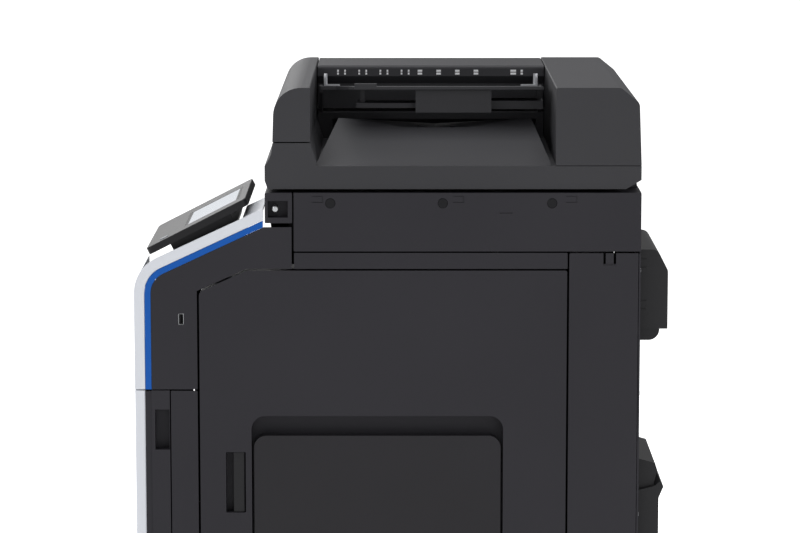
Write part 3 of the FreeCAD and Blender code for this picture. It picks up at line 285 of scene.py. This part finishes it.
grip_depth = 0.02
low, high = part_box("drum_units")
cartridge = by_place("coated_drum_and_black_abs", "Y", [low.y + grip_depth], ["#2f6a8c", "#26282b"], 0.3)
dress(cartridge, "drum_units")


# ---- Transfer unit
# Polyimide belt with a faint gloss, round two rollers between moulded cheeks, above the drum units. The cheeks
# share the belt's dark finish.

bands_per_metre = 60.0
belt, tree, shader, place = new_material("polyimide_belt")
shader.inputs["Base Color"].default_value = linear("#26201c")
bands = add_node(tree, "ShaderNodeTexNoise", None, {"Vector": (place, "Object"), "Scale": bands_per_metre})
sheen = add_node(
    tree, "ShaderNodeMapRange", None,
    {"Value": (bands, "Fac"), "To Min": 0.18, "To Max": 0.3},
)
tree.links.new(sheen.outputs["Result"], shader.inputs["Roughness"])
dress(belt, "transfer_unit")


# ---- Toner bottles
# Blow-moulded polyethylene bottles lying front to back above the belt, each in the colour of its powder. They
# push in through the round holes in the front plate.

low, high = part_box("toner_bottles")
pitch = (high.x - low.x) / 4
powders = ["#c9a61e", "#9c2d5c", "#2a78a8", "#2b2b2e"]
bottles = by_place("toner_bottle_pe", "X", [low.x + pitch * n for n in (1, 2, 3)], powders, 0.4)
dress(bottles, "toner_bottles")


# ---- Fuser unit and exit roller
# Heat-resistant black housing round the heated and the pressure roller, screwed to the frame on the right. The
# exit roller above it sends the sheet into the output bay; it is shown wholly in its dusty black rubber.

dust_per_metre = 240.0
rubber, tree, shader, place = new_material("black_rubber")
dust = add_node(
    tree, "ShaderNodeTexNoise", None,
    {"Vector": (place, "Object"), "Scale": dust_per_metre, "Detail": 4.0},
)
ramp = add_node(tree, "ShaderNodeValToRGB", None, {"Fac": (dust, "Fac")})
ramp.color_ramp.elements[0].color = linear("#1c1c1d")
ramp.color_ramp.elements[1].color = linear("#2c2c2d")
tree.links.new(ramp.outputs["Color"], shader.inputs["Base Color"])
shader.inputs["Roughness"].default_value = 0.72
dress(black_abs, "fuser_unit")
dress(rubber, "exit_roller")


# ---- Electrical box
# Folded zinc plated box behind the rear plate for the boards and the power supply, screwed to the frame.

dress(zinc_steel, "electrical_box")


# ---- Left cover
# Large dark side cover in grained ABS, hooked over the base and screwed along its rear edge. The grain and its
# slight change of tone leave a soft, even sheen.

dark_abs = moulded("dark_abs_cover", "#2b2a2f", "#2e2d32", 0.5)
dress(dark_abs, "left_cover")


# ---- Rear cover
# Dark moulded cover behind the electrical box, held by steel pan-head screws down both edges. The heads sit
# partly sunk in the cover's face.

dress(dark_abs, "rear_cover")


def repeat_rods(name, points, radius, depth, turn, material, sides=24):
    """The same short rod at every point, through one node group; turn is its Euler rotation."""
    tree = bpy.data.node_groups.new(name, "GeometryNodeTree")
    face = tree.interface
    face.new_socket("Geometry", in_out="INPUT", socket_type="NodeSocketGeometry")
    socket = {}
    for label, kind in (("Radius", "NodeSocketFloat"), ("Depth", "NodeSocketFloat"), ("Turn", "NodeSocketVector")):
        socket[label] = face.new_socket(label, in_out="INPUT", socket_type=kind).identifier
    face.new_socket("Geometry", in_out="OUTPUT", socket_type="NodeSocketGeometry")
    source = add_node(tree, "NodeGroupInput")
    rod = add_node(
        tree, "GeometryNodeMeshCylinder", None,
        {"Vertices": sides, "Radius": (source, "Radius"), "Depth": (source, "Depth")},
    )
    placed = add_node(
        tree, "GeometryNodeInstanceOnPoints", None,
        {"Points": (source, 0), "Instance": (rod, "Mesh"), "Rotation": (source, "Turn")},
    )
    real = add_node(tree, "GeometryNodeRealizeInstances", None, {"Geometry": (placed, "Instances")})
    finish = add_node(
        tree, "GeometryNodeSetMaterial", None,
        {"Geometry": (real, "Geometry"), "Material": material},
    )
    add_node(tree, "NodeGroupOutput", None, {0: (finish, "Geometry")})
    seed = add_mesh(name + "_points", points, [])
    modifier = seed.modifiers.new("repeat", "NODES")
    modifier.node_group = tree
    modifier[socket["Radius"]] = radius
    modifier[socket["Depth"]] = depth
    modifier[socket["Turn"]] = turn
    bpy.context.view_layer.update()
    graph = bpy.context.evaluated_depsgraph_get()
    mesh = bpy.data.meshes.new_from_object(seed.evaluated_get(graph))
    piece = bpy.data.objects.new(name, mesh)
    scene.collection.objects.link(piece)
    bpy.data.objects.remove(seed)
    if not mesh.materials:
        mesh.materials.append(material)
    return piece


head_radius, head_depth, head_proud = 0.0035, 0.0016, 0.0002
edge_inset, end_inset, rows = 0.012, 0.03, 5
low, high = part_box("rear_cover")
heights = [low.z + end_inset + n * (high.z - low.z - 2 * end_inset) / (rows - 1) for n in range(rows)]
points = [(x, high.y + head_proud, z) for z in heights for x in (low.x + edge_inset, high.x - edge_inset)]
screws = repeat_rods("rear_cover_screws", points, head_radius, head_depth, (math.pi / 2, 0, 0), zinc_steel)
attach(screws, "chassis")


# ---- Column covers
# Dark ABS covers in front of and behind the side door and above it, clipped to the posts from outside. The
# front one has the narrow slot of the data port.

dress(dark_abs, "rear_column_cover", "column_cover", "lower_column_cover", "upper_side_strip")


# ---- White front cover, accent band and upper front cover
# The tower's white ABS cover wraps its rounded corner and slope in one moulding. A smoother blue band is inlaid
# along its edge, and a second white cover closes the front below the output bay.

white_abs = moulded("white_abs_cover", "#dcdfe6", "#e0e3e9", 0.42, 1.1, 0.00003)
dress(white_abs, "tower_front_cover", "front_upper_cover")
blue_abs = moulded("blue_abs_band", "#0d56ac", "#1159b2", 0.36, 1.2, 0.00002)
dress(blue_abs, "accent_band")


# ---- Output tray and bay wall
# Ribbed black tray that the copies fall onto, and the wall with the exit slot round it, both clipped in.

dress(black_abs, "output_tray", "bay_wall")


# ---- Control panel
# Touch panel in satin dark ABS on a steel bracket; its housing hides the boards. The glass is flush, with a
# plain pale lit area, and the power key is a separate round button.

dress(zinc_steel, "panel_bracket")
panel_abs = moulded("satin_panel_abs", "#1f1f21", "#222224", 0.4)
dress(panel_abs, "panel_housing")
key_abs = moulded("grey_key_abs", "#8d9096", "#93969c", 0.4)
dress(key_abs, "panel_key")
dark_margin = 0.006
display, tree, shader, place = new_material("display_glass")
low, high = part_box("panel_screen")
split = add_node(tree, "ShaderNodeSeparateXYZ", None, {"Vector": (place, "Object")})
spans = []
for axis, near, far in (("X", low.x, high.x), ("Y", low.y, high.y)):
    spans.append(add_node(
        tree, "ShaderNodeMath", {"operation": "COMPARE"},
        {0: (split, axis), 1: (near + far) / 2, 2: (far - near) / 2 - dark_margin},
    ))
lit = add_node(
    tree, "ShaderNodeMath", {"operation": "MULTIPLY"},
    {0: (spans[0], "Value"), 1: (spans[1], "Value")},
)
mix = add_node(tree, "ShaderNodeMix", {"data_type": "RGBA"}, {"Factor": (lit, "Value")})
mix.inputs[6].default_value = linear("#0c0c0f")
mix.inputs[7].default_value = linear("#e6ebf2")
tree.links.new(mix.outputs[2], shader.inputs["Base Color"])
tree.links.new(mix.outputs[2], shader.inputs["Emission Color"])
shader.inputs["Roughness"].default_value = 0.08
shader.inputs["Coat Weight"].default_value = 0.5
shader.inputs["Emission Strength"].default_value = 0.5
dress(display, "panel_screen")


# ---- Scanner
# Dark scanner tub with separate side and front covers. Two float glasses lie in its top, and two black
# carriages run under them on rails.

wipes_per_metre = 30.0
dress(dark_abs, "scanner_case", "scanner_side_cover", "scanner_front_cover")
float_glass, tree, shader, place = new_material("float_glass")
shader.inputs["Base Color"].default_value = linear("#dcebe6")
shader.inputs["Transmission Weight"].default_value = 0.9
shader.inputs["IOR"].default_value = 1.52
wipe = add_node(tree, "ShaderNodeTexNoise", None, {"Vector": (place, "Object"), "Scale": wipes_per_metre})
sheen = add_node(
    tree, "ShaderNodeMapRange", None,
    {"Value": (wipe, "Fac"), "To Min": 0.02, "To Max": 0.07},
)
tree.links.new(sheen.outputs["Result"], shader.inputs["Roughness"])
dress(float_glass, "platen_glass")
dress(black_abs, "lamp_carriage", "mirror_carriage")


# ---- Screw caps and peg
# Three black caps pushed into round seats hide the screws of the scanner's side cover. The bright plated end of
# a peg stands in the square recess beside them.

def turned(name, place, profile, material, body, sides=48):
    """Round piece along x from (distance along x, radius) pairs, closed at both ends."""
    points, faces = [], []
    for along, radius in profile:
        for n in range(sides):
            angle = 2 * math.pi * n / sides
            across, up = radius * math.cos(angle), radius * math.sin(angle)
            points.append((place[0] + along, place[1] + across, place[2] + up))
    for ring in range(len(profile) - 1):
        for n in range(sides):
            a, b = ring * sides + n, ring * sides + (n + 1) % sides
            faces.append((a, b, b + sides, a + sides))
    faces.append(tuple(reversed(range(sides))))
    top = (len(profile) - 1) * sides
    faces.append(tuple(range(top, top + sides)))
    piece = add_mesh(name, points, faces)
    piece.data.materials.append(material)
    for face in piece.data.polygons[:-2]:
        face.use_smooth = True
    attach(piece, body)
    return piece


front_y = -0.442
seat_x, seat_z = cad_high[0] - 0.0012, 1.033
cap_profile = [(0.00005, 0.0081), (0.0006, 0.0081), (0.001, 0.0077), (0.0011, 0.007)]
for number, from_front in enumerate((0.325, 0.510, 0.690)):
    place = (seat_x, from_front + front_y, seat_z)
    cap = turned(f"screw_cap_{number + 1}", place, cap_profile, black_abs, "chassis")
bright_steel = plated("bright_pin_steel", "#c9cbce", "#d8dadd")
peg_place = (cad_high[0] - 0.0179, 0.234 + front_y, 1.023)
peg_profile = [(0, 0.0058), (0.011, 0.0058), (0.0135, 0.005), (0.0145, 0.0032)]
turned("stylus_end", peg_place, peg_profile, bright_steel, "chassis")


# ---- Data port
# Pressed metal shell round a black tongue, set back in the slot of the front column cover.

def plain_box(name, low, high, material, body):
    """Box between two corners, of one material, on one body."""
    corners = [(x, y, z) for x in (low[0], high[0]) for y in (low[1], high[1]) for z in (low[2], high[2])]
    faces = [(0, 1, 3, 2), (4, 6, 7, 5), (0, 4, 5, 1), (2, 3, 7, 6), (0, 2, 6, 4), (1, 5, 7, 3)]
    piece = add_mesh(name, corners, faces)
    piece.data.materials.append(material)
    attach(piece, body)


shell_back, shell_front = cad_high[0] - 0.012, cad_high[0] - 0.0032
shell_walls = {
    "port_shell_front": ((-0.3689, 0.8301), (-0.3681, 0.8489)),
    "port_shell_rear": ((-0.3609, 0.8301), (-0.3601, 0.8489)),
    "port_shell_low": ((-0.3681, 0.8301), (-0.3609, 0.8309)),
    "port_shell_high": ((-0.3681, 0.8481), (-0.3609, 0.8489)),
}
for name, (low, high) in shell_walls.items():
    plain_box(name, (shell_back, *low), (shell_front, *high), bright_steel, "chassis")
tongue_inset, plate = 0.0012, 0.0006
plain_box(
    "port_tongue", (shell_back, -0.3668, 0.8325), (shell_front - tongue_inset, -0.3646, 0.8465),
    black_abs, "chassis",
)
plain_box("port_back", (shell_back - plate, -0.3689, 0.8301), (shell_back, -0.3601, 0.8489), black_abs, "chassis")


# ---- Seam shade
# Near-black boxes set inside the covers, behind the seams round the side door, in front of the scanner and
# behind the clip slot. They are painted shade that darkens the seams where only shade falls.

# Near-black material of the seam boxes: painted shade, not a foam seal.
seam_shade_black = moulded("painted_seam_shade", "#0e0e10", "#121214", 0.9, 1.6, 0.0002)
door_low, door_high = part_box("side_door")
plain_box(
    "seam_shade_side_door_rear",
    (0.268, door_high.y - 0.006, door_low.z + 0.004), (0.276, door_high.y + 0.012, 0.918),
    seam_shade_black, "chassis",
)
low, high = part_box("scanner_side_cover")
plain_box(
    "seam_shade_scanner_front", (0.290, low.y - 0.008, low.z + 0.002), (0.298, low.y + 0.006, high.z - 0.006),
    seam_shade_black, "chassis",
)
plain_box(
    "seam_shade_side_door_front", (0.2735, door_low.y - 0.010, 0.725), (0.279, door_low.y + 0.002, 0.885),
    seam_shade_black, "chassis",
)
plain_box("seam_shade_clip_slot", (0.290, 0.328, 0.915), (0.298, 0.358, 0.948), seam_shade_black, "chassis")


# ---- Exhaust box and lower duct
# Two ducts on the rear cover: a box with a rounded top over a quarter duct, and a filter housing with a funnel
# lip. Both are plain dark mouldings, a little glossier than the covers.

duct_abs = moulded("dark_abs_duct", "#252527", "#29292b", 0.42)
dress(duct_abs, "exhaust_box", "rear_lower_duct")


# ---- Power inlet and switch
# Black inlet in the rear cover with three flat blades, and the black rocker in the left cover, both snapped in.

dress(black_abs, "power_inlet", "power_switch")


# ---- Side door, handle and bypass tray
# The side door turns on its rear edge. It carries the latch handle at its front edge and the folded bypass tray
# in a recess; both are the door's ABS in slightly darker tones, which are painted shade of their recesses.

dress(dark_abs, "side_door")
# Darker tones of the door's ABS for the handle and the bypass tray: painted shade of their recesses.
shaded_handle_abs = moulded("dark_abs_handle_painted_shade", "#222224", "#262628", 0.42)
dress(shaded_handle_abs, "side_door_handle")
shaded_bypass_abs = moulded("dark_abs_bypass_painted_shade", "#272629", "#2a292d", 0.5)
dress(shaded_bypass_abs, "bypass_tray")


# ---- Lower side door
# Plain dark ABS door beside the drawers, turning on its rear edge like the side door.

dress(dark_abs, "lower_side_door")


# ---- Front door
# White outer panel screwed to a dark inner frame, which closes over the drum units and the bottles.

dress(white_abs, "front_door")
dress(dark_abs, "front_door_frame")


# ---- Document feeder
# The feeder's base, arch, rear block, cover and tray are one dark ABS, a little lighter than the machine. The
# pale guides slide on the tray, and the white pad below presses the original on the glass.

feeder_abs = moulded("dark_abs_feeder", "#39393c", "#3c3c3f", 0.52)
dress(feeder_abs, "feeder_base", "feeder_front_arch", "feeder_rear_block", "feeder_cover", "input_tray")
dress(rubber, "feeder_roller")
pad_sheet = moulded("white_pad_sheet", "#ececea", "#f2f2f0", 0.7, 2.5, 0.00002)
dress(pad_sheet, "platen_pad")
guide_abs = moulded("grey_abs_guide", "#a9aaae", "#aeafb3", 0.5)
dress(guide_abs, "guide_front", "guide_rear")
dress(black_abs, "exit_stopper")


# ---- Printed size marks
# White pad-printed ticks and bars on the right face of the feeder cover, which show where each paper size lies.
# They follow the face, a hair above it.

ink = moulded("white_pad_printing_ink", "#e9eaec", "#efeff1", 0.6, 2.0, 0.000005)
cover = bpy.data.objects["feeder_cover"]
low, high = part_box("feeder_cover")
ticks = [(0.330 + 0.0125 * n, 0.003) for n in (0, 1, 3, 4, 6, 7, 9, 10)]
bars = [(0.475 + 0.033 * n, 0.008) for n in range(4)] + [(0.640, 0.010), (0.655, 0.004)]
row_drops, half_height, ink_proud = (0.0095, 0.0145), 0.0018, 0.0001
start_x, least_facing = 0.2, 0.2
along = Vector((0, 1, 0))
corners, faces = [], []
for from_front, wide in ticks + bars:
    for drop in row_drops:
        start = Vector((start_x, from_front + front_y, high.z - drop))
        found, place, normal, _ = cover.ray_cast(start, Vector((-1, 0, 0)))
        if not found or normal.x < least_facing:
            continue
        up = normal.cross(along).normalized() * half_height
        middle = place + normal * ink_proud
        first = len(corners)
        for side_way, up_way in ((-1, -1), (1, -1), (1, 1), (-1, 1)):
            corners.append(middle + along * wide / 2 * side_way + up * up_way)
        faces.append((first, first + 1, first + 2, first + 3))
if faces:
    marks = add_mesh("size_marks", corners, faces)
    marks.data.materials.append(ink)
    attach(marks, "feeder_cover")


# ---- Drawers
# Three paper drawers that slide out to the front, each with a white front on a grey tray. Both are moulded ABS,
# so one finish changes colour just behind the front.

front_thickness = 0.0165
low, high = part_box("drawer_1")
drawer_abs = by_place("white_front_on_grey_tray", "Y", [low.y + front_thickness], ["#dcdfe6", "#77787c"], 0.44)
dress(drawer_abs, "drawer_1", "drawer_2", "drawer_3")


# ---- Casters
# Pressed zinc plated forks and solid wheels of grey rubber. The front pair swivels on stems in the base plate,
# and the rear forks are welded to the frame.

tyre_rubber = moulded("grey_tyre_rubber", "#38383a", "#424244", 0.7, 2.0)
dress(zinc_steel, "caster_fork_left", "caster_fork_right")
dress(
    tyre_rubber,
    "caster_wheel_front_left", "caster_wheel_front_right", "caster_wheel_rear_left", "caster_wheel_rear_right",
)


bpy.context.view_layer.update()
